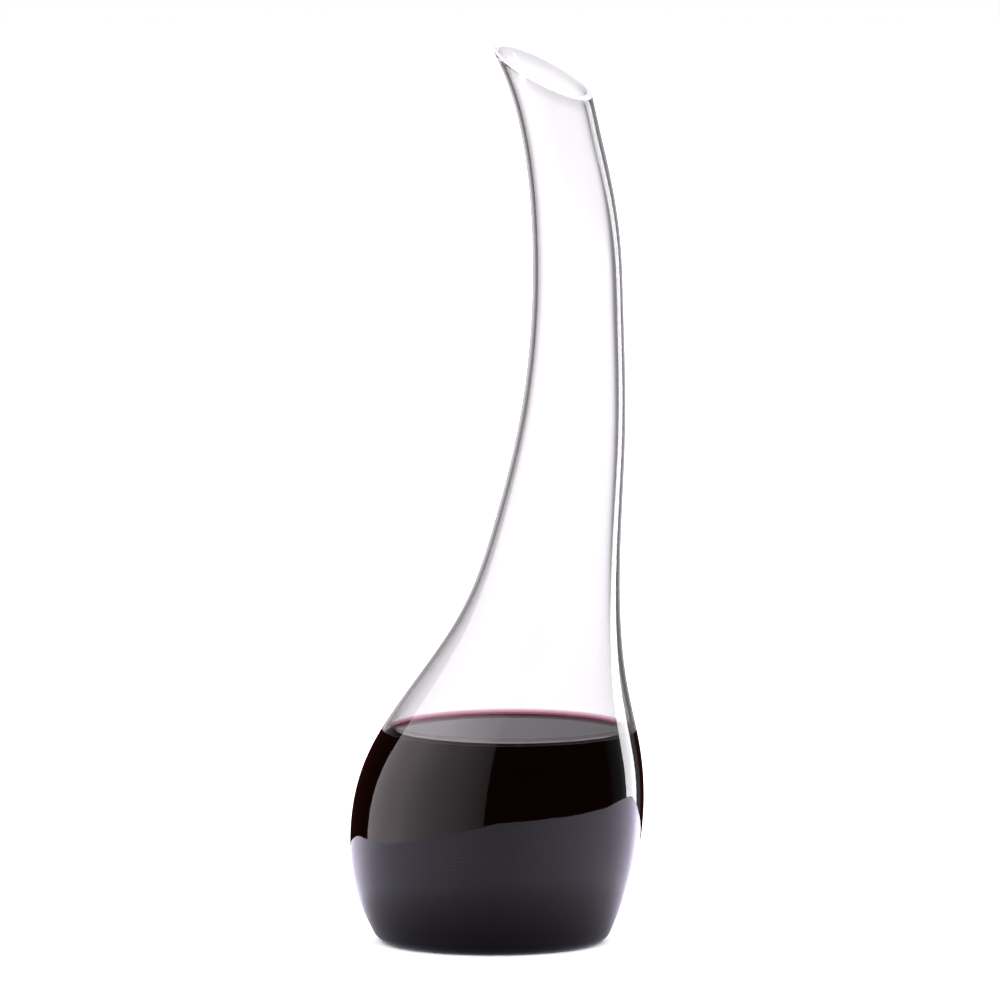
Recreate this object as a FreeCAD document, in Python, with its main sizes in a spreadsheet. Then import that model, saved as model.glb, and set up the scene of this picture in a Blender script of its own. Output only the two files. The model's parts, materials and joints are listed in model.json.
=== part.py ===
"""Wine decanter: one piece of blown glass with a bent neck and a slanted mouth, holding a bottle of wine.

Frame: millimetres, +Z up, origin at the centre of the foot on the table, the neck leans towards +X.
"""
import FreeCAD, Part
import math
import os

import Sketcher

OUT_FOLDER = "parts"

# Driving dimensions. Each one becomes a cell of the sheet, under its own name.
SIZES = {
    "bowl_height": 132.0,  # table to collar, where the bowl has become the neck
    "neck_length": 219.5,  # collar to the middle of the mouth, measured upright
    "foot_diameter": 91.0,  # lowest ring, before its corner is rounded
    "belly_diameter": 117.0,  # widest ring
    "collar_diameter": 65.0,
    "mouth_diameter": 33.0,  # outside of the straight end of the neck
    "neck_lean": 39.0,  # furthest that the neck's middle goes sideways
    "mouth_slant": 26.5,  # degrees, the mouth's plane slopes down towards +X
    "wall": 2.0,  # measured level
    "base_thickness": 4.5,
    "heel_radius": 7.0,  # outer corner between wall and foot
    "floor_radius": 9.0,  # inner corner between wall and floor
    "punt_diameter": 66.0,  # shallow hollow under the foot
    "punt_depth": 2.0,
    "lip_radius": 0.75,  # fire-polished edge of the mouth
    "wine_level": 87.5,  # table to the surface of the wine
}

# Rings of the bowl and the neck, from the foot up. Each is a level circle: its name, the two sizes that its
# radius lies between, how far it is from the first to the second, and its lean as a share of neck_lean.
# The height is a share of bowl_height up to the collar, and of neck_length above it.
BOWL_RINGS = [
    ("foot", "foot_diameter", "belly_diameter", 0.0, 0.0, 0.0),
    ("heel", "foot_diameter", "belly_diameter", 0.45, -0.012, 0.09),
    ("low_belly", "foot_diameter", "belly_diameter", 0.835, 0.007, 0.21),
    ("belly", "foot_diameter", "belly_diameter", 1.0, 0.055, 0.38),
    ("high_belly", "belly_diameter", "collar_diameter", 0.155, 0.145, 0.58),
    ("shoulder", "belly_diameter", "collar_diameter", 0.56, 0.305, 0.775),
    ("collar", "belly_diameter", "collar_diameter", 1.0, 0.55, 1.0),
]
NECK_RINGS = [
    ("throat", "collar_diameter", "mouth_diameter", 0.425, 0.755, 0.165),
    ("low_neck", "collar_diameter", "mouth_diameter", 0.69, 0.925, 0.35),
    ("mid_neck", "collar_diameter", "mouth_diameter", 0.89, 0.995, 0.575),
    ("bend", "collar_diameter", "mouth_diameter", 0.93, 0.98, 0.69),
    ("high_neck", "collar_diameter", "mouth_diameter", 1.0, 0.895, 0.81),
    ("mouth", "collar_diameter", "mouth_diameter", 1.0, 0.6, 1.0),
    ("neck_end", "collar_diameter", "mouth_diameter", 1.0, 0.29, 1.095),
]
MOUTH_LEAN_SHARE = NECK_RINGS[-2][4]
LIP_LIMIT = 0.38  # largest lip_radius, as a share of wall
CUTTER_REACH = 2.0  # size of a cutting block, as a share of belly_diameter


def make_sheet(doc):
    sheet = doc.addObject("Spreadsheet::Sheet", "Sizes")
    for row, (name, value) in enumerate(SIZES.items(), start=1):
        sheet.set(f"A{row}", name)
        sheet.set(f"B{row}", str(value))
        sheet.setAlias(f"B{row}", name)
    doc.recompute()
    return sheet


def plane_of(body, role):
    return next(f for f in body.Origin.OriginFeatures if f.Role == role)


def new_sketch(body, name, role):
    sketch = body.newObject("Sketcher::SketchObject", name)
    sketch.AttachmentSupport = [(plane_of(body, role), "")]
    sketch.MapMode = "FlatFace"
    return sketch


def ring_heights():
    """(ring, expression of its height) from the foot up."""
    for ring in BOWL_RINGS:
        yield ring, f"Sizes.bowl_height * {ring[5]}"
    for ring in NECK_RINGS:
        yield ring, f"Sizes.bowl_height + Sizes.neck_length * {ring[5]}"


def ring_sketches(body, inset):
    """The level circles of one loft, each inset from the outside of the glass by an expression."""
    sketches = []
    for (name, first, second, share, lean, _), height in ring_heights():
        sketch = new_sketch(body, f"{body.Name}_{name}", "XY_Plane")
        sketch.addGeometry(Part.Circle(FreeCAD.Vector(0, 0, 0), FreeCAD.Vector(0, 0, 1), 20.0))
        sketch.addConstraint(Sketcher.Constraint("Coincident", 0, 3, -1, 1))
        sketch.addConstraint(Sketcher.Constraint("Radius", 0, 20.0))
        sketch.renameConstraint(1, "ring_radius")
        sketch.setExpression(
            "Constraints.ring_radius",
            f"Sizes.{first} / 2 + {share} * (Sizes.{second} - Sizes.{first}) / 2 - {inset}",
        )
        sketch.setExpression("AttachmentOffset.Base.x", f"Sizes.neck_lean * {lean}")
        sketch.setExpression("AttachmentOffset.Base.z", height)
        sketches.append(sketch)
    return sketches


def add_loft(body, inset):
    """The loft runs from the top ring down."""
    sketches = ring_sketches(body, inset)
    loft = body.newObject("PartDesign::AdditiveLoft", f"{body.Name}_loft")
    loft.Profile = sketches[-1]
    loft.Sections = sketches[-2::-1]
    loft.Ruled = False
    body.Document.recompute()
    return loft


def level_edge(shape, height):
    """The name of the widest edge that lies level at a height."""
    level = [
        (edge.BoundBox.XLength, f"Edge{n}")
        for n, edge in enumerate(shape.Edges, start=1)
        if abs(edge.BoundBox.ZMin - height) < 0.01 and abs(edge.BoundBox.ZMax - height) < 0.01
    ]
    return max(level)[1]


def add_fillet(body, height, radius):
    """Rounds the corner between the wall and the level face at a height."""
    tip = body.Tip
    fillet = body.newObject("PartDesign::Fillet", f"{body.Name}_corner")
    fillet.Base = (tip, [level_edge(tip.Shape, height)])
    fillet.setExpression("Radius", radius)
    body.Document.recompute()
    return fillet


def add_dome(body, name, height):
    """Takes a shallow cap out of a level face: its rim is punt_diameter wide and it is punt_depth deep."""
    sketch = new_sketch(body, f"{name}_section", "XZ_Plane")
    sketch.setExpression("AttachmentOffset.Base.y", height)
    half, depth = SIZES["punt_diameter"] / 2, SIZES["punt_depth"]
    swell = (half**2 + depth**2) / (2 * depth)  # radius of the cap
    centre, rim, top = (FreeCAD.Vector(*p, 0) for p in ((0, depth - swell), (half, 0), (0, depth)))
    angle = math.asin(half / swell)
    sketch.addGeometry(Part.LineSegment(FreeCAD.Vector(0, 0, 0), rim))
    circle = Part.Circle(centre, FreeCAD.Vector(0, 0, 1), swell)
    sketch.addGeometry(Part.ArcOfCircle(circle, math.pi / 2 - angle, math.pi / 2))
    sketch.addGeometry(Part.LineSegment(top, FreeCAD.Vector(0, 0, 0)))
    rules = [
        ("Coincident", 0, 1, -1, 1),
        ("Coincident", 0, 2, 1, 1),
        ("Coincident", 1, 2, 2, 1),
        ("Coincident", 2, 2, 0, 1),
        ("Horizontal", 0),
        ("Vertical", 2),
        ("PointOnObject", 1, 3, -2),
        ("DistanceX", 0, 1, 0, 2, half),
        ("DistanceY", 2, 2, 2, 1, depth),
    ]
    for rule in rules:
        sketch.addConstraint(Sketcher.Constraint(*rule))
    sketch.renameConstraint(7, "rim_radius")
    sketch.renameConstraint(8, "depth")
    sketch.setExpression("Constraints.rim_radius", "Sizes.punt_diameter / 2")
    sketch.setExpression("Constraints.depth", "Sizes.punt_depth")
    body.Document.recompute()
    groove = body.newObject("PartDesign::Groove", name)
    groove.Profile = sketch
    groove.ReferenceAxis = (sketch, ["V_Axis"])
    groove.Angle = 360
    body.Document.recompute()
    return groove


def outer_form(doc):
    """The outside of the glass as a solid, open-ended above the mouth."""
    body = doc.addObject("PartDesign::Body", "OuterForm")
    add_loft(body, "0")
    add_fillet(body, 0.0, "Sizes.heel_radius")
    add_dome(body, "punt", "0")
    return body


def cavity_form(doc):
    """The space inside the glass, from the floor to above the mouth."""
    body = doc.addObject("PartDesign::Body", "CavityForm")
    add_loft(body, "Sizes.wall")
    below = new_sketch(body, "below_floor", "XY_Plane")
    below.addGeometry(Part.Circle(FreeCAD.Vector(0, 0, 0), FreeCAD.Vector(0, 0, 1), 60.0))
    below.addConstraint(Sketcher.Constraint("Coincident", 0, 3, -1, 1))
    below.addConstraint(Sketcher.Constraint("Radius", 0, 60.0))
    below.renameConstraint(1, "clearing")
    below.setExpression("Constraints.clearing", "Sizes.belly_diameter")
    doc.recompute()
    floor_cut = body.newObject("PartDesign::Pocket", "floor_cut")
    floor_cut.Profile = below
    floor_cut.Reversed = True
    floor_cut.setExpression("Length", "Sizes.base_thickness")
    doc.recompute()
    add_fillet(body, SIZES["base_thickness"], "Sizes.floor_radius")
    add_dome(body, "floor_dome", "Sizes.base_thickness")
    return body


def slant_cutter(doc):
    """A block whose underside is the plane of the mouth."""
    block = doc.addObject("Part::Box", "AboveMouth")
    reach = f"Sizes.belly_diameter * {CUTTER_REACH}"
    for side in ("Length", "Width", "Height"):
        block.setExpression(side, reach)
    mouth_height = "(Sizes.bowl_height + Sizes.neck_length)"
    mouth_lean = f"(Sizes.neck_lean * {MOUTH_LEAN_SHARE})"
    block.Placement.Rotation = FreeCAD.Rotation(FreeCAD.Vector(0, 1, 0), SIZES["mouth_slant"])
    block.setExpression("Placement.Rotation.Angle", "Sizes.mouth_slant * 1 deg")
    half = f"{reach} / 2"
    block.setExpression("Placement.Base.x", f"{mouth_lean} - {half} * cos(Sizes.mouth_slant * 1 deg)")
    block.setExpression("Placement.Base.y", f"-{half}")
    block.setExpression("Placement.Base.z", f"{mouth_height} + {half} * sin(Sizes.mouth_slant * 1 deg)")
    doc.recompute()
    return block


def in_mouth_plane(edge):
    """Whether an edge of the glass lies in the plane of the mouth."""
    if edge.Degenerated:
        return False
    slope = math.tan(math.radians(SIZES["mouth_slant"]))
    height = SIZES["bowl_height"] + SIZES["neck_length"]
    lean = SIZES["neck_lean"] * MOUTH_LEAN_SHARE
    points = edge.discretize(9)
    return all(abs(p.z - height + slope * (p.x - lean)) < 0.01 for p in points)


def glass_vessel(doc, outer, cavity, cutter):
    """The blown glass: foot, bowl, shoulder, bent neck and fire-polished mouth, all one piece."""
    trimmed = doc.addObject("Part::Cut", "TrimmedForm")
    trimmed.Base, trimmed.Tool = outer, cutter
    hollow = doc.addObject("Part::Cut", "HollowForm")
    hollow.Base, hollow.Tool = trimmed, cavity
    doc.recompute()
    lip = min(SIZES["lip_radius"], LIP_LIMIT * SIZES["wall"])
    rim = [n for n, edge in enumerate(hollow.Shape.Edges, start=1) if in_mouth_plane(edge)]
    vessel = doc.addObject("Part::Fillet", "GlassVessel")
    vessel.Base = hollow
    vessel.Edges = [(n, lip, lip) for n in rim]
    vessel.Label = "glass_vessel"
    return vessel


def wine_fill(doc, cavity):
    """The wine: what lies in the cavity below its level surface."""
    below = doc.addObject("Part::Box", "BelowWineLevel")
    for side in ("Length", "Width"):
        below.setExpression(side, "Sizes.belly_diameter * 2")
    below.setExpression("Height", "Sizes.wine_level")
    below.setExpression("Placement.Base.x", "-Sizes.belly_diameter")
    below.setExpression("Placement.Base.y", "-Sizes.belly_diameter")
    wine = doc.addObject("Part::Common", "Wine")
    wine.Base, wine.Tool = cavity, below
    wine.Label = "wine"
    return wine


def check_document(doc, parts):
    doc.recompute()
    for obj in doc.Objects:
        if {"Invalid", "Error"} & set(obj.State):
            raise RuntimeError(f"{obj.Name} failed: {obj.State}")
    for part in parts:
        shape = part.Shape
        if shape.isNull() or not shape.isValid() or len(shape.Solids) != 1:
            raise RuntimeError(f"{part.Label} isn't one valid solid")


def main():
    doc = FreeCAD.newDocument("Decanter")
    make_sheet(doc)
    outer = outer_form(doc)
    cavity = cavity_form(doc)
    cutter = slant_cutter(doc)
    parts = [glass_vessel(doc, outer, cavity, cutter), wine_fill(doc, cavity)]
    check_document(doc, parts)
    os.makedirs(OUT_FOLDER, exist_ok=True)
    for part in parts:
        part.Shape.exportStep(os.path.join(OUT_FOLDER, f"{part.Label}.step"))
        box = part.Shape.optimalBoundingBox(False, False)
        print(
            f"{part.Label}: {part.Shape.Volume / 1000:.1f} ml, X {box.XMin:.1f} to {box.XMax:.1f},"
            f" Y {box.YMin:.1f} to {box.YMax:.1f}, Z {box.ZMin:.1f} to {box.ZMax:.1f}"
        )


main()
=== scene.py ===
"""A wine decanter of clear blown glass, partly filled with red wine, on a pale table in a small studio.

Written as an add-on: each operator makes one piece, and the panel lists them. Metres, +Z up, origin under
the middle of the foot.
"""
import json
import math

import bpy
import numpy as np
from mathutils import Matrix, Vector


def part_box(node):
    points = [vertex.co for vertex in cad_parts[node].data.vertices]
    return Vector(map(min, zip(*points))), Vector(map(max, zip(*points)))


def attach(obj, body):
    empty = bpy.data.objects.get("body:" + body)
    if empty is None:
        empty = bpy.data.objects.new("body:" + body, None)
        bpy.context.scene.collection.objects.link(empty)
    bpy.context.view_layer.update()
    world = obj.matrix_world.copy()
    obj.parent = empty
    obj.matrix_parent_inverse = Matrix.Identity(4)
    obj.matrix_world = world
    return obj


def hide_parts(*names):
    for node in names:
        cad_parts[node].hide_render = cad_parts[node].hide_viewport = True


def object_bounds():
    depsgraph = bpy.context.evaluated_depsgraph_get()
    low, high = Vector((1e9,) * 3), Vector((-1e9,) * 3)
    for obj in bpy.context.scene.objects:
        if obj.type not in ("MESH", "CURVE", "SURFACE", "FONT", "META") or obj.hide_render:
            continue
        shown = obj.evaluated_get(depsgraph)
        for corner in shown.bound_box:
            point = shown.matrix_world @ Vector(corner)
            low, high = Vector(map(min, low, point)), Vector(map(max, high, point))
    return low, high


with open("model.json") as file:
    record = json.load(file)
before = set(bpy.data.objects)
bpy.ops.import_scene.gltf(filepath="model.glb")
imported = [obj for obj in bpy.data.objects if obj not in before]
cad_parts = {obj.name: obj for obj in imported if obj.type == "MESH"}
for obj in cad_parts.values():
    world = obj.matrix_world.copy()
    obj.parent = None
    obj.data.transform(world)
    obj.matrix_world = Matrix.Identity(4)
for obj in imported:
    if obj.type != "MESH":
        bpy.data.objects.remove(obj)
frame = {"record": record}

bl_info = {
    "name": "Bent neck decanter",
    "version": (1, 0, 0),
    "blender": (4, 5, 0),
    "location": "3D View > Sidebar > Decanter",
    "description": "Makes a blown glass wine decanter, its wine and a small studio",
    "category": "Add Mesh",
}

CAD_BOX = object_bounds()
MM = 0.001
MOUTH = next(m for m in frame["record"]["mounts"] if m["name"] == "mouth")
MOUTH_HEIGHT = MOUTH["pos_m"][2]
MOUTH_SLOPE = MOUTH["axis"][0] / MOUTH["axis"][2]
MOUTH_ALONG = sum(place * part for place, part in zip(MOUTH["pos_m"], MOUTH["axis"]))  # along its axis
PAINTED_RIM_SHADE = 0.7  # painted shade: the glass colour is greyed where the wall turns into the rounded lip
PAINTED_RIM_SHADE_REACH = 5.5 * MM  # how far below the mouth the painted shade starts
WINE_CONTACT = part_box("wine")[1][2]
FLOOR_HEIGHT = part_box("wine")[0][2]

# Level circles that the glass is blown through, from the foot up: height, lean to +X and radius, in mm.
RINGS = (
    (0.0, 0.0, 45.5),  # foot
    (11.88, -0.47, 51.35),  # heel
    (27.72, 0.27, 56.36),  # low belly
    (50.16, 2.15, 58.5),  # belly
    (76.56, 5.66, 54.47),  # high belly
    (102.3, 11.9, 43.94),  # shoulder
    (132.0, 21.45, 32.5),  # collar
    (168.22, 29.45, 25.7),  # throat
    (208.83, 36.08, 21.46),  # low neck
    (258.21, 38.81, 18.26),  # middle of the neck
    (283.46, 38.22, 17.62),  # bend
    (309.8, 34.91, 16.5),  # high neck
    (331.0, 30.1, 15.9),  # under the mouth
    (351.5, 23.4, 16.5),  # mouth
    (372.35, 11.31, 16.5),  # end of the glass before the mouth is cut
)
SLANT_FROM = 200.0 * MM  # the rings start to tip towards the slant of the mouth here
TIP_STEPS = 25  # tries at the height where a tipped ring meets the wall

# Rows of faces.
DOME_ROWS = 8  # over the hollow under the foot, and over the floor above it
CORNER_ROWS = 10  # round the heel, and round the corner of the floor
WALL_ROWS = 150  # up the glass, outside and inside
LIP_ROWS = 12  # over the lip
WINE_WALL_ROWS = 60  # where the wine lies against the glass
EDGE_ROWS = 14  # on the climbing edge of the wine
FLAT_ROWS = 12  # on its level surface

MENISCUS_HOLLOW = 1.6  # how hollow the climbing edge is: 1 is a straight slope
DRY_MARGIN = 2.0 * MM  # the glass is dry from this far below the edge of the wine
SIDE_MARGIN = 0.7 * MM  # the wine against the glass turns clear this far below its level


class GlassSizes(bpy.types.PropertyGroup):
    wall: bpy.props.FloatProperty(
        name="Wall",
        description="Thickness of the glass, measured level",
        default=2.0 * MM,
        unit="LENGTH",
    )
    heel_radius: bpy.props.FloatProperty(
        name="Heel radius",
        description="Outer corner between wall and foot",
        default=7.0 * MM,
        unit="LENGTH",
    )
    floor_radius: bpy.props.FloatProperty(
        name="Floor radius",
        description="Inner corner between wall and floor",
        default=9.0 * MM,
        unit="LENGTH",
    )
    punt_radius: bpy.props.FloatProperty(
        name="Punt radius",
        description="Radius of the hollow under the foot",
        default=33.0 * MM,
        unit="LENGTH",
    )
    punt_depth: bpy.props.FloatProperty(
        name="Punt depth",
        description="Depth of the hollow under the foot",
        default=2.0 * MM,
        unit="LENGTH",
    )
    lip_height: bpy.props.FloatProperty(
        name="Lip height",
        description="How far the polished lip rounds over",
        default=1.1 * MM,
        unit="LENGTH",
    )
    segments: bpy.props.IntProperty(name="Segments", description="Faces round the glass", default=144)
    # The share of the rim that is not seen through is diffuse white: painted brightness that stands in for
    # the light the clear glass carries out through its lip.
    rim_clearness: bpy.props.FloatProperty(
        name="Rim clearness", description="How much of the polished rim is seen through", default=0.55
    )
    tint: bpy.props.FloatVectorProperty(
        name="Glass tint",
        description="Colour of the glass",
        subtype="COLOR",
        default=(0.992, 0.988, 0.992),
    )


class WineSizes(bpy.types.PropertyGroup):
    meniscus_height: bpy.props.FloatProperty(
        name="Meniscus height",
        description="How far the wine climbs the glass",
        default=1.55 * MM,
        unit="LENGTH",
    )
    meniscus_width: bpy.props.FloatProperty(
        name="Meniscus width",
        description="How far from the glass the climb starts",
        default=1.5 * MM,
        unit="LENGTH",
    )
    contact: bpy.props.FloatProperty(
        name="Contact",
        description="How far the wine reaches into the glass, to leave no gap",
        default=0.15 * MM,
        unit="LENGTH",
    )
    film: bpy.props.FloatProperty(
        name="Film",
        description="How far a thin film climbs above the edge of the wine",
        default=0.55 * MM,
        unit="LENGTH",
    )
    colour: bpy.props.FloatVectorProperty(
        name="Wine colour",
        description="Colour of the deep wine",
        subtype="COLOR",
        default=(0.007, 0.0016, 0.001),
    )


class StudioSizes(bpy.types.PropertyGroup):
    azimuth: bpy.props.FloatProperty(
        name="Azimuth",
        description="Where the camera stands",
        default=math.radians(28.9),
        subtype="ANGLE",
    )
    elevation: bpy.props.FloatProperty(
        name="Elevation",
        description="How far the camera looks down",
        default=math.radians(6.68),
        subtype="ANGLE",
    )
    distance: bpy.props.FloatProperty(
        name="Distance", description="Camera to decanter", default=8.0, unit="LENGTH"
    )
    frame_width: bpy.props.FloatProperty(
        name="Frame width", description="Width of the view at the decanter", default=0.4, unit="LENGTH"
    )
    table_radius: bpy.props.FloatProperty(
        name="Table radius", description="Radius of the pale floor", default=4.0, unit="LENGTH"
    )
    card_radius: bpy.props.FloatProperty(
        name="Card radius", description="Decanter to the lights and cards", default=1.4, unit="LENGTH"
    )


def smooth_through(heights, values):
    """The natural cubic spline through the values, as a function of height."""
    step = np.diff(heights)
    rise = np.diff(values) / step
    bend = np.eye(len(heights))
    pull = np.zeros(len(heights))
    for k in range(1, len(heights) - 1):
        bend[k, k - 1 : k + 2] = step[k - 1], 2 * (step[k - 1] + step[k]), step[k]
        pull[k] = 6 * (rise[k] - rise[k - 1])
    curve = np.linalg.solve(bend, pull)

    def value(height):
        k = min(max(int(np.searchsorted(heights, height)) - 1, 0), len(step) - 1)
        a, b = heights[k + 1] - height, height - heights[k]
        h = step[k]
        return (
            (curve[k] * a**3 + curve[k + 1] * b**3) / (6 * h)
            + (values[k] / h - curve[k] * h / 6) * a
            + (values[k + 1] / h - curve[k + 1] * h / 6) * b
        )

    return value


_rings = np.array(RINGS) * MM
lean_at = smooth_through(_rings[:, 0], _rings[:, 1])
girth_at = smooth_through(_rings[:, 0], _rings[:, 2])


def tipped_row(height, slope, inset):
    """A ring of the wall: its left end, its right end and its half depth. It slopes down towards +X."""
    middle = lean_at(height)
    ends = []
    for side in (-1, 1):
        z = height
        for _ in range(TIP_STEPS):
            z = height - slope * (lean_at(z) + side * (girth_at(z) - inset) - middle)
        ends.append((lean_at(z) + side * (girth_at(z) - inset), z))
    return ends[0], ends[1], girth_at(height) - inset


def level_row(height, radius):
    """A level ring of a given radius."""
    lean = lean_at(max(height, 0.0))
    return (lean - radius, height), (lean + radius, height), radius


def slope_at(height):
    """How steeply the ring at a height is tipped: level up to the neck, then as slanted as the mouth."""
    share = min(max((height - SLANT_FROM) / (MOUTH_HEIGHT - SLANT_FROM), 0.0), 1.0)
    return MOUTH_SLOPE * share * share * (3 - 2 * share)


def corner(floor, radius, inset):
    """The rows that round the corner from a level face to the wall, and the height where they end."""
    flare = (girth_at(floor + radius) - girth_at(floor)) / radius
    tilt = math.atan(flare)
    centre = girth_at(floor + radius) - inset - radius / math.cos(tilt)
    rows = []
    for k in range(CORNER_ROWS + 1):
        angle = (math.pi / 2 - tilt) * k / CORNER_ROWS
        rows.append(level_row(floor + radius * (1 - math.cos(angle)), centre + radius * math.sin(angle)))
    return rows, floor + radius * (1 - math.cos(math.pi / 2 - tilt))


def dome(floor, sizes):
    """A shallow round rise in a level face, from its middle out."""
    rows = []
    for k in range(DOME_ROWS + 1):
        share = k / DOME_ROWS
        rows.append(level_row(floor + sizes.punt_depth * (1 - share**2), sizes.punt_radius * share))
    return rows


def wall_rows(bottom, top, inset):
    """The rows of the wall above the bottom, up to the top."""
    return [tipped_row(z, slope_at(z), inset) for z in np.linspace(bottom, top, WALL_ROWS + 1)[1:]]


def glass_rows(sizes):
    """The glass from the middle of its underside, up the outside, over the lip and down to its floor.

    It comes with which rows are wet, and which make the rim."""
    outside, heel_top = corner(0.0, sizes.heel_radius, 0.0)
    inside, floor_top = corner(FLOOR_HEIGHT, sizes.floor_radius, sizes.wall)
    shoulder = MOUTH_HEIGHT - sizes.lip_height
    lip = []
    for k in range(1, LIP_ROWS):
        turn = math.pi * k / LIP_ROWS
        inset = sizes.wall * (1 - math.cos(turn)) / 2
        lip.append(tipped_row(shoulder + sizes.lip_height * math.sin(turn), MOUTH_SLOPE, inset))
    rows = dome(0.0, sizes) + outside + wall_rows(heel_top, shoulder, 0.0) + lip
    rows.append(tipped_row(shoulder, MOUTH_SLOPE, sizes.wall))
    rim = range(len(rows) - len(lip) - 2, len(rows))
    wet_from = len(rows)
    inner = wall_rows(floor_top, shoulder, sizes.wall)[:-1]
    rows += inner[::-1] + inside[::-1] + dome(FLOOR_HEIGHT, sizes)[::-1]
    wet_to = WINE_CONTACT - DRY_MARGIN
    wet = [k >= wet_from and max(left[1], right[1]) < wet_to for k, (left, right, _) in enumerate(rows)]
    return rows, wet, [k in rim for k in range(len(rows))]


def wine_rows(glass, wine):
    """The wine from the middle of the floor, up the glass, and back to its middle over the meniscus."""
    inset = glass.wall - wine.contact
    floor = FLOOR_HEIGHT - wine.contact
    inside, floor_top = corner(floor, glass.floor_radius, inset)
    level = WINE_CONTACT - wine.meniscus_height
    contact = WINE_CONTACT + wine.film
    heights = np.linspace(floor_top, contact, WINE_WALL_ROWS + 1)[1:]
    rows = dome(floor, glass) + inside + [level_row(z, girth_at(z) - inset) for z in heights]
    edge = girth_at(contact) - inset
    for k in range(1, EDGE_ROWS + 1):
        share = k / EDGE_ROWS
        climb = (1 - share) ** MENISCUS_HOLLOW
        rows.append(level_row(level + (contact - level) * climb, edge - wine.meniscus_width * share))
    flat = edge - wine.meniscus_width
    rows += [level_row(level, flat * (1 - k / FLAT_ROWS)) for k in range(1, FLAT_ROWS + 1)]
    lean = lean_at(contact)
    for k in range(len(rows) - EDGE_ROWS - FLAT_ROWS, len(rows)):  # the surface keeps the lean of its edge
        (_, height), _, radius = rows[k]
        rows[k] = (lean - radius, height), (lean + radius, height), radius
    return rows


def rails(name, rows, second, third):
    """A mesh of two lines of points, left then right, that a skin is stretched over."""
    points = [(x, 0.0, z) for (x, z), _, _ in rows] + [(x, 0.0, z) for _, (x, z), _ in rows]
    mesh = bpy.data.meshes.new(name)
    mesh.from_pydata(points, [], [])
    for label, values in (("depth", [row[2] for row in rows]), ("second", second), ("third", third)):
        attribute = mesh.attributes.new(label, "FLOAT", "POINT")
        attribute.data.foreach_set("value", [float(v) for v in values] * 2)
    obj = bpy.data.objects.new(name, mesh)
    bpy.context.collection.objects.link(obj)
    return obj


class Tree:
    """A node tree being built: nodes are made in order and linked by name."""

    def __init__(self, tree):
        self.tree = tree

    def node(self, kind, links=None, **settings):
        node = self.tree.nodes.new(kind)
        for key, value in settings.items():
            setattr(node, key, value)
        for key, value in (links or {}).items():
            socket = node.inputs[key]
            if isinstance(value, bpy.types.NodeSocket):
                self.tree.links.new(value, socket)
            else:
                socket.default_value = value
        return node


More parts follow.
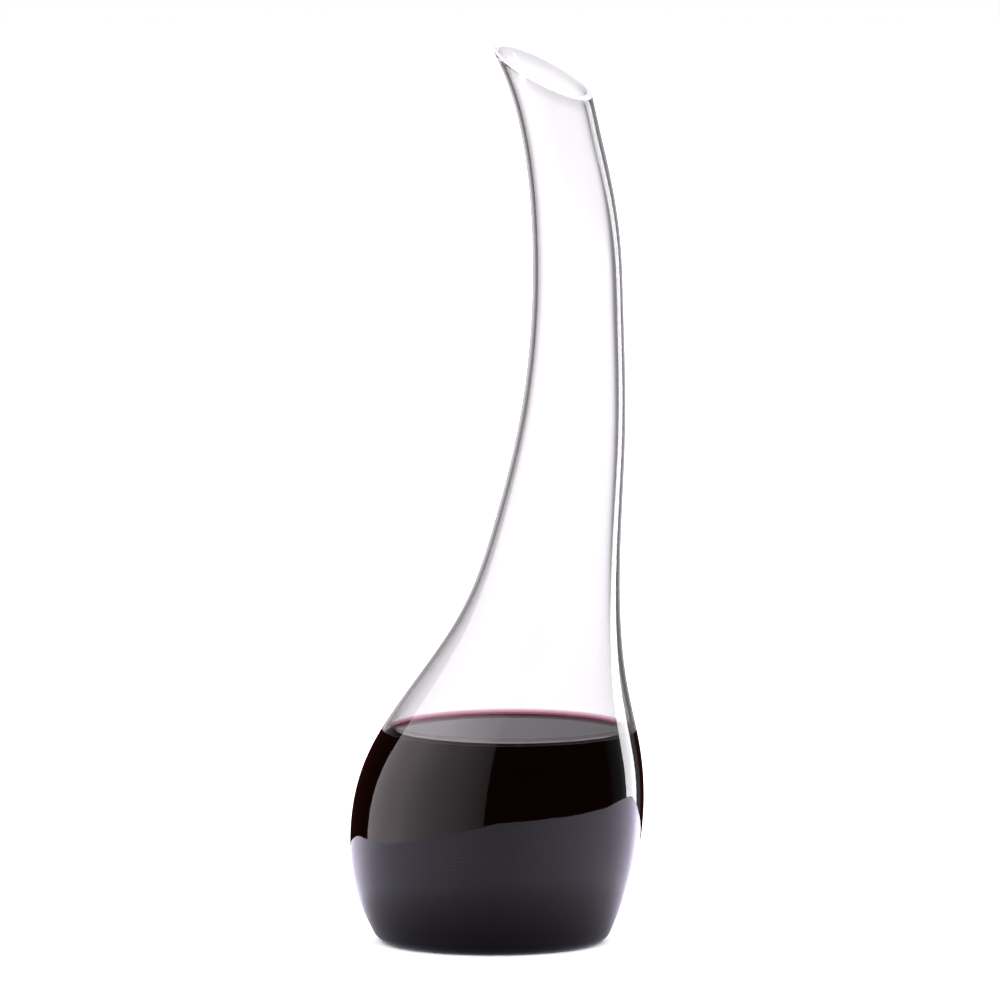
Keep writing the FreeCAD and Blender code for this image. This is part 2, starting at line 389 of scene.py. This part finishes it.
def skin_tree():
    """Geometry Nodes that stretch a skin over two rails. A ring joins each left point to its right one."""
    group = bpy.data.node_groups.new("skin_over_two_rails", "GeometryNodeTree")
    face = group.interface
    face.new_socket("Rails", in_out="INPUT", socket_type="NodeSocketGeometry")
    for name, kind in (
        ("Rows", "NodeSocketInt"),
        ("Segments", "NodeSocketInt"),
        ("Material", "NodeSocketMaterial"),
        ("Second material", "NodeSocketMaterial"),
        ("Third material", "NodeSocketMaterial"),
    ):
        face.new_socket(name, in_out="INPUT", socket_type=kind)
    face.new_socket("Skin", in_out="OUTPUT", socket_type="NodeSocketGeometry")
    t = Tree(group)
    given = t.node("NodeGroupInput").outputs
    columns = t.node("ShaderNodeMath", {0: given["Segments"], 1: 1.0}, operation="ADD").outputs[0]
    grid = t.node(
        "GeometryNodeMeshGrid",
        {"Size X": 1.0, "Size Y": 1.0, "Vertices X": columns, "Vertices Y": given["Rows"]},
    )
    place = t.node("ShaderNodeSeparateXYZ", {0: t.node("GeometryNodeInputPosition").outputs[0]})
    turn = t.node("ShaderNodeMath", {0: place.outputs[0], 1: math.tau, 2: math.pi}, operation="MULTIPLY_ADD")
    last = t.node("ShaderNodeMath", {0: given["Rows"], 1: 1.0}, operation="SUBTRACT").outputs[0]
    share = t.node("ShaderNodeMath", {0: place.outputs[1], 1: 0.5}, operation="ADD").outputs[0]
    spot = t.node("ShaderNodeMath", {0: share, 1: last}, operation="MULTIPLY").outputs[0]
    row = t.node("ShaderNodeMath", {0: spot}, operation="ROUND").outputs[0]
    across = t.node("ShaderNodeMath", {0: row, 1: given["Rows"]}, operation="ADD").outputs[0]
    position = t.node("GeometryNodeInputPosition").outputs[0]

    def sample(kind, value, index):
        node = t.node("GeometryNodeSampleIndex", data_type=kind, domain="POINT")
        group.links.new(given["Rails"], node.inputs["Geometry"])
        group.links.new(value, node.inputs["Value"])
        group.links.new(index, node.inputs["Index"])
        return node.outputs["Value"]

    def named(name):
        return t.node("GeometryNodeInputNamedAttribute", {"Name": name}, data_type="FLOAT").outputs[0]

    left = sample("FLOAT_VECTOR", position, row)
    right = sample("FLOAT_VECTOR", position, across)
    depth = sample("FLOAT", named("depth"), row)
    middle = t.node("ShaderNodeVectorMath", {0: left, 1: right}, operation="ADD").outputs[0]
    centre = t.node("ShaderNodeVectorMath", {0: middle, "Scale": 0.5}, operation="SCALE").outputs[0]
    reach = t.node("ShaderNodeVectorMath", {0: right, 1: centre}, operation="SUBTRACT").outputs[0]
    cosine = t.node("ShaderNodeMath", {0: turn.outputs[0]}, operation="COSINE").outputs[0]
    sine = t.node("ShaderNodeMath", {0: turn.outputs[0]}, operation="SINE").outputs[0]
    along = t.node("ShaderNodeVectorMath", {0: reach, "Scale": cosine}, operation="SCALE").outputs[0]
    deep = t.node("ShaderNodeMath", {0: depth, 1: sine}, operation="MULTIPLY").outputs[0]
    sideways = t.node("ShaderNodeCombineXYZ", {1: deep}).outputs[0]
    start = t.node("ShaderNodeVectorMath", {0: centre, 1: along}, operation="ADD").outputs[0]
    target = t.node("ShaderNodeVectorMath", {0: start, 1: sideways}, operation="ADD").outputs[0]
    kept = t.node("GeometryNodeCaptureAttribute", domain="POINT")
    group.links.new(grid.outputs["Mesh"], kept.inputs["Geometry"])
    for label in ("second", "third"):
        kept.capture_items.new("FLOAT", label)
        group.links.new(sample("FLOAT", named(label), row), kept.inputs[label])
    placed = t.node("GeometryNodeSetPosition", {"Geometry": kept.outputs["Geometry"], "Position": target})
    joined = t.node("GeometryNodeMergeByDistance", {"Geometry": placed.outputs[0], "Distance": 1e-6})
    smooth = t.node("GeometryNodeSetShadeSmooth", {"Geometry": joined.outputs[0], "Shade Smooth": True})
    real = t.node("GeometryNodeRealizeInstances", {"Geometry": smooth.outputs[0]})
    done = t.node("GeometryNodeSetMaterial", {"Geometry": real.outputs[0], "Material": given["Material"]})
    for label in ("second", "third"):
        chosen = t.node("FunctionNodeCompare", {0: kept.outputs[label], 1: 0.99}, operation="GREATER_THAN")
        done = t.node(
            "GeometryNodeSetMaterial",
            {
                "Geometry": done.outputs[0],
                "Selection": chosen.outputs[0],
                "Material": given[label.capitalize() + " material"],
            },
        )
    t.node("NodeGroupOutput", {"Skin": done.outputs[0]})
    return group


def stretch_skin(name, rows, segments, materials, second, third):
    """Makes a piece from its rows, as a plain mesh with its faces outwards.

    second and third say which rows take the second and the third material."""
    guide = rails(name + "_rails", rows, second, third)
    modifier = guide.modifiers.new("Skin", "NODES")
    modifier.node_group = bpy.data.node_groups.get("skin_over_two_rails") or skin_tree()
    values = {
        "Rows": len(rows),
        "Segments": segments,
        "Material": materials[0],
        "Second material": materials[1],
        "Third material": materials[2],
    }
    for item in modifier.node_group.interface.items_tree:
        if item.in_out == "INPUT" and item.name in values:
            modifier[item.identifier] = values[item.name]
    graph = bpy.context.evaluated_depsgraph_get()
    mesh = bpy.data.meshes.new_from_object(guide.evaluated_get(graph), depsgraph=graph)
    bpy.data.objects.remove(guide)
    mesh.name = name
    for attribute in [a for a in mesh.attributes if a.name in ("depth", "second", "third")]:
        mesh.attributes.remove(attribute)
    if signed_volume(mesh) < 0:
        mesh.flip_normals()
    piece = bpy.data.objects.new(name, mesh)
    bpy.context.collection.objects.link(piece)
    return piece


def signed_volume(mesh):
    """Six times the volume that the faces hold, below nothing where they point inwards."""
    mesh.calc_loop_triangles()
    points = np.array([v.co for v in mesh.vertices])
    corners = np.array([t.vertices for t in mesh.loop_triangles])
    a, b, c = (points[corners[:, k]] for k in range(3))
    return float(np.einsum("ij,ij->i", a, np.cross(b, c)).sum())


def new_material(name):
    """An empty material and its tree."""
    material = bpy.data.materials.new(name)
    material.use_nodes = True
    material.node_tree.nodes.clear()
    return material, Tree(material.node_tree)


def clear_glass(name, sizes, ior, clearness=1.0):
    """Clear blown glass: slow ripples, faint handling marks, a trace of tint, and painted shade that greys
    the wall under the mouth.
    """
    material, t = new_material(name)
    spot = t.node("ShaderNodeTexCoord").outputs["Object"]
    stretched = t.node("ShaderNodeMapping", {"Vector": spot, "Scale": (1.0, 1.0, 0.35)}).outputs[0]
    ripple = t.node("ShaderNodeTexNoise", {"Vector": stretched, "Scale": 38.0, "Detail": 2.0}).outputs["Fac"]
    marks = t.node("ShaderNodeTexNoise", {"Vector": spot, "Scale": 55.0, "Detail": 6.0}).outputs["Fac"]
    haze = t.node(
        "ShaderNodeMapRange",
        {"Value": marks, "From Min": 0.58, "From Max": 0.8, "To Min": 0.0, "To Max": 0.03},
    ).outputs[0]
    bump = t.node("ShaderNodeBump", {"Height": ripple, "Strength": 0.05, "Distance": 0.0003}).outputs[0]
    shade = t.node("ShaderNodeValToRGB", {"Fac": ripple})
    low, high = shade.color_ramp.elements
    low.position, low.color = 0.3, (*[c * 0.985 for c in sizes.tint], 1.0)
    high.position, high.color = 0.7, (*sizes.tint, 1.0)
    # Painted shade: the glass colour is darkened over the last few mm under the mouth, standing in for the
    # greyer light seen through the wall as it turns into the lip. The part-white rim is not darkened.
    level_with_mouth = {"Vector": spot, "Rotation": (0.0, -math.atan(MOUTH_SLOPE), 0.0)}
    turned = t.node("ShaderNodeMapping", level_with_mouth).outputs[0]
    along = t.node("ShaderNodeSeparateXYZ", {0: turned}).outputs[2]
    painted_rim_shade = t.node(
        "ShaderNodeMapRange",
        {
            "Value": along,
            "From Min": MOUTH_ALONG - PAINTED_RIM_SHADE_REACH,
            "From Max": MOUTH_ALONG - sizes.lip_height,
            "To Min": 1.0,
            "To Max": PAINTED_RIM_SHADE if clearness == 1.0 else 1.0,
        },
    ).outputs[0]
    tone = t.node("ShaderNodeHueSaturation", {"Color": shade.outputs[0], "Value": painted_rim_shade}).outputs[0]
    surface = t.node(
        "ShaderNodeBsdfPrincipled",
        {
            "Base Color": tone,
            "Roughness": haze,
            "IOR": ior,
            "Transmission Weight": clearness,
            "Normal": bump,
        },
    )
    t.node("ShaderNodeOutputMaterial", {"Surface": surface.outputs[0]})
    return material


def height_ramp(t, low, high, stops):
    """A colour that follows the height above the foot, between low and high."""
    height = t.node("ShaderNodeSeparateXYZ", {0: t.node("ShaderNodeTexCoord").outputs["Object"]}).outputs[2]
    share = t.node("ShaderNodeMapRange", {"Value": height, "From Min": low, "From Max": high}).outputs[0]
    node = t.node("ShaderNodeValToRGB", {"Fac": share})
    elements = node.color_ramp.elements
    for _ in stops[2:]:
        elements.new(0.5)
    for element, (place, colour) in zip(elements, stops):
        element.position = place
        element.color = (*colour, 1.0)
    return node.outputs[0]


def deep_wine(name, sizes, ior):
    """Wine too deep to see through: a black red with slightly uneven body under a still surface."""
    material, t = new_material(name)
    spot = t.node("ShaderNodeTexCoord").outputs["Object"]
    drift = t.node("ShaderNodeTexNoise", {"Vector": spot, "Scale": 20.0, "Detail": 2.0}).outputs["Fac"]
    tint = t.node("ShaderNodeValToRGB", {"Fac": drift})
    low, high = tint.color_ramp.elements
    low.position, low.color = 0.35, (*[c * 0.8 for c in sizes.colour], 1.0)
    high.position, high.color = 0.65, (*[c * 1.2 for c in sizes.colour], 1.0)
    bump = t.node("ShaderNodeBump", {"Height": drift, "Strength": 0.02, "Distance": 0.0003}).outputs[0]
    surface = t.node(
        "ShaderNodeBsdfPrincipled",
        {"Base Color": tint.outputs[0], "Roughness": 0.0, "IOR": ior, "Normal": bump},
    )
    t.node("ShaderNodeOutputMaterial", {"Surface": surface.outputs[0]})
    return material


def wine_side(name, sizes):
    """Wine against the glass: deep up to its level, then clear where only the thin edge climbs."""
    material, t = new_material(name)
    level = WINE_CONTACT - sizes.meniscus_height - SIDE_MARGIN
    bottom, top = level - MM, level + MM
    clear = height_ramp(t, bottom, top, ((0.45, (0.0,) * 3), (0.55, (1.0,) * 3)))
    surface = t.node(
        "ShaderNodeBsdfPrincipled",
        {
            "Base Color": height_ramp(t, bottom, top, ((0.45, sizes.colour), (0.55, (1.0,) * 3))),
            "Roughness": 0.0,
            "IOR": 1.0,
            "Transmission Weight": clear,
        },
    )
    t.node("ShaderNodeOutputMaterial", {"Surface": surface.outputs[0]})
    return material


def wine_edge(name, sizes):
    """The thin climbing edge, which colours the light that comes through the glass behind it."""
    material, t = new_material(name)
    level = WINE_CONTACT - sizes.meniscus_height
    top = WINE_CONTACT + sizes.film
    pink = height_ramp(t, level, top, WINE_EDGE)
    leaving = t.node("ShaderNodeNewGeometry").outputs["Backfacing"]
    colour = mixed(t, leaving, pink, (1.0, 1.0, 1.0, 1.0))
    surface = t.node(
        "ShaderNodeBsdfPrincipled",
        {"Base Color": colour, "Roughness": 0.0, "IOR": EDGE_IOR, "Transmission Weight": 1.0},
    )
    t.node("ShaderNodeOutputMaterial", {"Surface": surface.outputs[0]})
    return material


def mixed(t, share, first, second):
    """A colour between two colours or sockets."""
    node = t.node("ShaderNodeMix", {"Factor": share}, data_type="RGBA")
    for key, value in (("A", first), ("B", second)):
        socket = next(s for s in node.inputs if s.name == key and s.type == "RGBA")
        if isinstance(value, bpy.types.NodeSocket):
            t.tree.links.new(value, socket)
        else:
            socket.default_value = value
    return next(s for s in node.outputs if s.type == "RGBA")


GLASS_IOR = 1.5
WINE_IOR = 1.34
EDGE_IOR = 1.02
# Colours of the climbing edge of the wine, from its level up to where it ends on the glass. A clear face
# dyes light by the square root of its colour, so each is the square of the tone that is wanted.
WINE_EDGE = (
    (0.0, (0.066, 0.005, 0.012)),
    (0.16, (0.066, 0.005, 0.012)),
    (0.27, (0.10, 0.012, 0.026)),
    (0.46, (0.26, 0.073, 0.11)),
    (0.65, (0.38, 0.152, 0.20)),
    (0.84, (0.59, 0.34, 0.38)),
    (1.0, (0.85, 0.72, 0.77)),
)


class DECANTER_OT_glass(bpy.types.Operator):
    """Blow the glass: foot, bowl, bent neck and slanted mouth in one piece"""

    bl_idname = "decanter.glass"
    bl_label = "Glass"

    def execute(self, context):
        sizes = context.scene.decanter_glass
        dry = clear_glass("clear_glass", sizes, GLASS_IOR)
        wet = clear_glass("glass_under_wine", sizes, GLASS_IOR / WINE_IOR)
        # The rim is part clear glass and part diffuse white, painted light where the lip shines.
        rim = clear_glass("rim_painted_bright", sizes, GLASS_IOR, sizes.rim_clearness)
        rows, wetted, rimmed = glass_rows(sizes)
        piece = stretch_skin("blown_glass", rows, sizes.segments, (dry, wet, rim), wetted, rimmed)
        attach(piece, "root")
        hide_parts("glass_vessel")
        return {"FINISHED"}


class DECANTER_OT_wine(bpy.types.Operator):
    """Pour the wine, which climbs the glass in a thin pink edge"""

    bl_idname = "decanter.wine"
    bl_label = "Wine"

    def execute(self, context):
        scene = context.scene
        material = deep_wine("red_wine", scene.decanter_wine, WINE_IOR)
        side = wine_side("wine_against_glass", scene.decanter_wine)
        edge = wine_edge("wine_edge", scene.decanter_wine)
        rows = wine_rows(scene.decanter_glass, scene.decanter_wine)
        contact = len(rows) - 1 - EDGE_ROWS - FLAT_ROWS
        against = [k <= contact for k in range(len(rows))]
        climbing = [contact <= k <= contact + EDGE_ROWS for k in range(len(rows))]
        piece = stretch_skin(
            "poured_wine", rows, scene.decanter_glass.segments, (material, side, edge), against, climbing
        )
        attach(piece, "root")
        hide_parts("wine")
        return {"FINISHED"}


def round_from_camera(azimuth, turn):
    """The level direction that is turned from the decanter's camera side, to the camera's right."""
    back = Vector((math.sin(azimuth), -math.cos(azimuth), 0.0))
    right = Vector((math.cos(azimuth), math.sin(azimuth), 0.0))
    return back * math.cos(turn) + right * math.sin(turn)


def glow(name, colour, strength):
    """Plain light from a card. strength is a number or a node socket's maker."""
    material, t = new_material(name)
    value = strength(t) if callable(strength) else strength
    light = t.node("ShaderNodeEmission", {"Color": (*colour, 1.0), "Strength": value})
    t.node("ShaderNodeOutputMaterial", {"Surface": light.outputs[0]})
    return material


def ends(stops):
    """The places of the first stop and of the last."""
    return stops[0][0], stops[-1][0]


def curved_card(name, sizes, turns, levels, material, seen_by, reach=1.0):
    """An upright card bent round the decanter, from one turn to the other, seen only in some ways.

    Each level is a height and how far the card is turned on there."""
    count = round((turns[1] - turns[0]) / CARD_STEP)
    radius = sizes.card_radius * reach
    points, faces = [], []
    rows = len(levels)
    for k in range(count + 1):
        for height, shift in levels:
            turn = math.radians(turns[0] + (turns[1] - turns[0]) * k / count + shift)
            side = round_from_camera(sizes.azimuth, turn) * radius
            points.append((side.x, side.y, height))
        if k:
            for j in range(rows - 1):
                first = (k - 1) * rows + j
                faces.append((first, first + rows, first + rows + 1, first + 1))
    mesh = bpy.data.meshes.new(name)
    mesh.from_pydata(points, [], faces)
    spread = mesh.attributes.new("spread", "FLOAT", "POINT")
    spread.data.foreach_set("value", [(k // rows) / count for k in range(len(points))])
    mesh.materials.append(material)
    card = bpy.data.objects.new(name, mesh)
    bpy.context.collection.objects.link(card)
    show_to(card, seen_by)
    return card


def show_to(obj, seen_by):
    """Hides an object from every kind of ray but these."""
    for way in ("camera", "diffuse", "glossy", "transmission", "shadow", "volume_scatter"):
        setattr(obj, "visible_" + way, way in seen_by)


def ramp(t, share, stops):
    """A number that follows its stops: pairs of a place from 0 to 1 and a value."""
    node = t.node("ShaderNodeValToRGB", {"Fac": share})
    elements = node.color_ramp.elements
    top = max(value for _, value in stops)
    for _ in stops[2:]:
        elements.new(0.5)
    for element, (place, value) in zip(elements, stops):
        element.position = place
        element.color = (value / top,) * 3 + (1.0,)
    return t.node("ShaderNodeMath", {0: node.outputs[0], 1: top}, operation="MULTIPLY").outputs[0]


def ramp_over(t, share, stops):
    """The same, where the share runs from the first stop to the last and the places are in any unit."""
    first, last = ends(stops)
    return ramp(t, share, [((place - first) / (last - first), value) for place, value in stops])


def turns_ramp(t, stops):
    """A strength that follows a card round the decanter. Each stop is a turn and a value."""
    return ramp_over(t, t.node("ShaderNodeAttribute", attribute_name="spread").outputs["Fac"], stops)


def outline_disc(name, radii, height, material, azimuth):
    """A level card with its edge at a given distance in each direction round from the camera."""
    mesh = bpy.data.meshes.new(name)
    turns, reach = zip(*radii)
    points = []
    for k in range(DISC_POINTS):
        turn = -180.0 + 360.0 * k / DISC_POINTS
        side = round_from_camera(azimuth, math.radians(turn)) * float(np.interp(turn, turns, reach))
        points.append((side.x, side.y, height))
    mesh.from_pydata(points, [], [tuple(range(len(points)))])
    mesh.materials.append(material)
    obj = bpy.data.objects.new(name, mesh)
    bpy.context.collection.objects.link(obj)
    return obj


def table_material():
    """Pale, faintly lilac table top with a barely uneven finish."""
    material, t = new_material("pale_table")
    spot = t.node("ShaderNodeTexCoord").outputs["Object"]
    grain = t.node("ShaderNodeTexNoise", {"Vector": spot, "Scale": 9.0, "Detail": 3.0}).outputs["Fac"]
    tone = t.node("ShaderNodeValToRGB", {"Fac": grain})
    low, high = tone.color_ramp.elements
    low.position, low.color = 0.3, (0.88, 0.88, 0.90, 1.0)
    high.position, high.color = 0.7, (0.90, 0.90, 0.91, 1.0)
    surface = t.node(
        "ShaderNodeBsdfPrincipled",
        {"Base Color": tone.outputs[0], "Roughness": 0.7, "Specular IOR Level": 0.1},
    )
    t.node("ShaderNodeOutputMaterial", {"Surface": surface.outputs[0]})
    return material


def table_sheen(sizes):
    """What the glass mirrors of the table, as painted light: brighter at the sides, and dimmed by painted
    shade of the decanter round its foot and in front of it.
    """

    def strength(t):
        spot = t.node("ShaderNodeTexCoord").outputs["Object"]
        back = round_from_camera(sizes.azimuth, 0.0)
        turned = t.node(
            "ShaderNodeMapping", {"Vector": spot, "Rotation": (0.0, 0.0, -math.atan2(back.y, back.x))}
        ).outputs[0]
        part = t.node("ShaderNodeSeparateXYZ", {0: turned}).outputs
        angle = t.node("ShaderNodeMath", {0: part[1], 1: part[0]}, operation="ARCTAN2").outputs[0]
        part_turn = {0: angle, 1: 0.5 / math.pi, 2: 0.5}
        share = t.node("ShaderNodeMath", part_turn, operation="MULTIPLY_ADD").outputs[0]
        away = t.node("ShaderNodeVectorMath", {0: turned}, operation="LENGTH").outputs["Value"]
        # Painted shade of the decanter on the table, darkest close to the foot.
        painted_foot_shade = ramp(t, away, SHEEN_SHADE_BY_DISTANCE)
        # Painted shade in front of the decanter, and a painted reflection of the strip light on the table to
        # its right.
        side = ramp_over(t, share, SHEEN_BY_TURN)
        return t.node("ShaderNodeMath", {0: painted_foot_shade, 1: side}, operation="MULTIPLY").outputs[0]

    return glow("table_sheen", (0.90, 0.84, 1.04), strength)


def surround(sizes):
    """What is seen through the glass: white straight behind, dark at both sides, and greyer higher up."""

    def strength(t):
        low = turns_ramp(t, SURROUND_LOW)
        high = turns_ramp(t, SURROUND_HIGH)
        spot = t.node("ShaderNodeTexCoord").outputs["Object"]
        height = t.node("ShaderNodeSeparateXYZ", {0: spot}).outputs[2]
        bottom, top = ends(SURROUND_RISE)
        between = {"Value": height, "From Min": bottom, "From Max": top}
        level = t.node("ShaderNodeMapRange", between).outputs[0]
        share = ramp_over(t, level, SURROUND_RISE)
        rise = t.node("ShaderNodeMath", {0: high, 1: low}, operation="SUBTRACT").outputs[0]
        both = t.node("ShaderNodeMath", {0: rise, 1: share, 2: low}, operation="MULTIPLY_ADD").outputs[0]
        falloff = ramp_over(t, level, SURROUND_BY_HEIGHT)
        return t.node("ShaderNodeMath", {0: both, 1: falloff}, operation="MULTIPLY").outputs[0]

    return glow("surround", (1.0, 0.97, 1.02), strength)


# The studio's light. Turns are in degrees from the camera's side, growing to the camera's right, so that
# behind is 180. A pair is a turn, a height or a distance, and the strength there.
SURROUND_LOW = (
    (0, 0.7), (90, 0.5), (120, 0.1), (149, 0.11), (158, 0.15), (165, 0.24), (167.5, 0.4), (169, 0.8),
    (171, 1.15), (173, 1.25), (189, 1.25), (193, 1.05), (198.5, 0.78), (202, 0.52), (206, 0.36), (211, 0.28),
    (218, 0.18), (225, 0.1), (238, 0.08), (270, 0.5), (360, 0.7),
)
SURROUND_HIGH = (
    (0, 0.5), (90, 0.4), (130, 0.15), (165, 0.2), (171, 0.3), (177, 0.36), (179.9, 0.42), (180.5, 0.66),
    (185, 0.72), (195, 0.5), (210, 0.25), (235, 0.12), (270, 0.4), (360, 0.5),
)
# How far the surround has changed from its low light to its high light, by height.
SURROUND_RISE = ((-4.0, 0.0), (-0.022, 0.0), (0.0, 0.12), (0.08, 0.15), (0.3, 1.0), (4.0, 1.0))
# Both are then dimmed by height.
SURROUND_BY_HEIGHT = ((-4.0, 0.35), (-2.0, 0.4), (-1.4, 1.0), (0.5, 1.0), (1.2, 0.5), (4.0, 0.35))
# The sheen's painted shade of the decanter: dimmer close to the foot, by distance from the middle of the
# foot.
SHEEN_SHADE_BY_DISTANCE = ((0.04, 0.2), (0.055, 0.31), (0.075, 0.57), (0.105, 0.95), (0.15, 1.0), (0.6, 0.95))
# The sheen by turn: dimmer in front as painted shade of the decanter, brighter at the sides, and brightest
# to the right as a painted reflection of the strip light on the table.
SHEEN_BY_TURN = (
    (-180, 1.7), (-150, 2.1), (-127, 2.3), (-90, 1.45), (-40, 1.02), (-15, 0.8), (0, 0.75), (15, 0.8),
    (40, 1.05), (90, 1.55), (118, 2.4), (126, 3.1), (132, 4.0), (138, 4.6), (150, 3.0), (180, 1.7),
)
# How far the table's sheen reaches, by turn.
SHEEN_EDGE = (
    (-180, 0.24), (-160, 0.29), (-131, 0.42), (-87, 0.34), (-40, 0.38), (-15, 0.5), (0, 0.56), (28, 0.46),
    (56, 0.42), (90, 0.44), (113, 0.52), (125, 0.52), (140, 0.36), (160, 0.25), (180, 0.24),
)
SOFTBOX = ((-121, 1.9), (-110, 1.8), (-85, 1.75), (-56, 1.05), (-30, 0.68), (-11, 0.32))
STRIP = ((98, 0.04), (112, 0.12), (118.4, 0.35), (119.2, 7.0), (137.2, 7.0), (138.2, 0.25), (150, 0.1))

# Heights of each card, and how far it is turned on there.
SURROUND_LEVELS = ((-4.0, 0), (4.0, 0))
SOFTBOX_LEVELS = ((-1.2, 0), (2.2, 0))
STRIP_LEVELS = ((-0.6, 9), (0.0, 0), (0.2, -3), (0.4, -8), (0.8, -22), (1.3, -42))

SURROUND_REACH = 2.2  # times as far away as the other cards
CARD_STEP = 2.0  # degrees for each face of a card
DISC_POINTS = 120
TABLE_HEIGHT = -0.1 * MM  # just clear of the foot
SHADE_HEIGHT = -0.2 * MM
SHADE_RADIUS = 70.0 * MM
FRAMING = (3.0 * MM, -3.0 * MM)  # moves the camera to its right and up, to place the decanter in the frame


def studio_world():
    """White all round for the table and through the glass, greyer overhead, and dark in reflections."""
    world = bpy.data.worlds.new("studio")
    world.use_nodes = True
    world.node_tree.nodes.clear()
    t = Tree(world.node_tree)
    path = t.node("ShaderNodeLightPath").outputs
    direction = t.node("ShaderNodeTexCoord").outputs["Generated"]
    toward = t.node("ShaderNodeSeparateXYZ", {0: direction}).outputs[2]
    share = t.node("ShaderNodeMath", {0: toward, 1: 0.5, 2: 0.5}, operation="MULTIPLY_ADD").outputs[0]
    overhead = t.node("ShaderNodeValToRGB", {"Fac": share})
    low, high = overhead.color_ramp.elements
    low.position, low.color = 0.4, (1.0, 0.99, 1.0, 1.0)
    high.position, high.color = 0.6, (0.5, 0.5, 0.5, 1.0)
    dark = (0.03, 0.008, 0.006, 1.0)
    seen = mixed(t, path["Is Transmission Ray"], dark, overhead.outputs[0])
    lit = mixed(t, path["Is Diffuse Ray"], seen, (3.0, 3.0, 3.04, 1.0))
    final = mixed(t, path["Is Camera Ray"], lit, (1.0, 1.0, 1.0, 1.0))
    back = t.node("ShaderNodeBackground", {"Color": final, "Strength": 1.0})
    t.node("ShaderNodeOutputWorld", {"Surface": back.outputs[0]})
    return world


def set_table(sizes):
    """The table top, what the glass mirrors of it, and the shade under the foot."""
    round_edge = ((-180, sizes.table_radius),)
    top = outline_disc("table_top", round_edge, TABLE_HEIGHT, table_material(), sizes.azimuth)
    show_to(top, ("camera", "diffuse", "shadow"))
    sheen = outline_disc("table_mirror", SHEEN_EDGE, TABLE_HEIGHT, table_sheen(sizes), sizes.azimuth)
    show_to(sheen, ("glossy",))
    dark = glow("contact_shade", (0.03, 0.01, 0.01), 1.0)
    shade = outline_disc("contact_shade", ((-180, SHADE_RADIUS),), SHADE_HEIGHT, dark, sizes.azimuth)
    show_to(shade, ("transmission",))


def set_cards(sizes):
    """The lights that the glass mirrors, and the surround that is seen through it."""
    soft = glow("softbox", (1.0, 0.87, 0.92), lambda t: turns_ramp(t, SOFTBOX))
    curved_card("softbox_left", sizes, ends(SOFTBOX), SOFTBOX_LEVELS, soft, ("glossy",))
    strip = glow("strip_light", (0.98, 0.98, 1.0), lambda t: turns_ramp(t, STRIP))
    curved_card("strip_right", sizes, ends(STRIP), STRIP_LEVELS, strip, ("glossy",))
    curved_card(
        "surround",
        sizes,
        ends(SURROUND_LOW),
        SURROUND_LEVELS,
        surround(sizes),
        ("transmission",),
        SURROUND_REACH,
    )


class DECANTER_OT_studio(bpy.types.Operator):
    """Set the table, the lights, the cards and the camera"""

    bl_idname = "decanter.studio"
    bl_label = "Studio"

    def execute(self, context):
        scene = context.scene
        sizes = scene.decanter_studio
        scene.view_settings.view_transform = "Standard"
        scene.cycles.max_bounces = 32
        scene.cycles.transmission_bounces = 32
        scene.cycles.glossy_bounces = 12
        scene.world = studio_world()
        set_table(sizes)
        set_cards(sizes)
        set_camera(scene, sizes)
        return {"FINISHED"}


def set_camera(scene, sizes):
    """A long lens that looks a little down on the decanter."""
    data = bpy.data.cameras.new("camera")
    data.sensor_width = 36.0
    data.lens = data.sensor_width * sizes.distance / sizes.frame_width
    data.clip_end = 100.0
    camera = bpy.data.objects.new("camera", data)
    scene.collection.objects.link(camera)
    level = round_from_camera(sizes.azimuth, 0.0) * math.cos(sizes.elevation)
    back = level + Vector((0.0, 0.0, math.sin(sizes.elevation)))
    turn = back.to_track_quat("Z", "Y").to_matrix().to_4x4()
    target = Vector((0.0, 0.0, (CAD_BOX[0][2] + CAD_BOX[1][2]) / 2))
    aim = turn @ Vector((*FRAMING, sizes.distance))
    camera.matrix_world = Matrix.Translation(target + aim) @ turn
    scene.camera = camera


class DECANTER_PT_panel(bpy.types.Panel):
    """The decanter's pieces"""

    bl_idname = "DECANTER_PT_panel"
    bl_label = "Decanter"
    bl_space_type = "VIEW_3D"
    bl_region_type = "UI"
    bl_category = "Decanter"

    def draw(self, context):
        for operator, group in (
            ("decanter.glass", "decanter_glass"),
            ("decanter.wine", "decanter_wine"),
            ("decanter.studio", "decanter_studio"),
        ):
            box = self.layout.box()
            sizes = getattr(context.scene, group)
            for name in sizes.__annotations__:
                box.prop(sizes, name)
            box.operator(operator)


GROUPS = {"decanter_glass": GlassSizes, "decanter_wine": WineSizes, "decanter_studio": StudioSizes}
CLASSES = (*GROUPS.values(), DECANTER_OT_glass, DECANTER_OT_wine, DECANTER_OT_studio, DECANTER_PT_panel)


def register():
    for cls in CLASSES:
        bpy.utils.register_class(cls)
    for name, group in GROUPS.items():
        setattr(bpy.types.Scene, name, bpy.props.PointerProperty(type=group))


def unregister():
    for name in GROUPS:
        delattr(bpy.types.Scene, name)
    for cls in reversed(CLASSES):
        bpy.utils.unregister_class(cls)


def main():
    register()
    bpy.ops.decanter.glass()
    bpy.ops.decanter.wine()
    bpy.ops.decanter.studio()


if __name__ == "__main__":
    main()
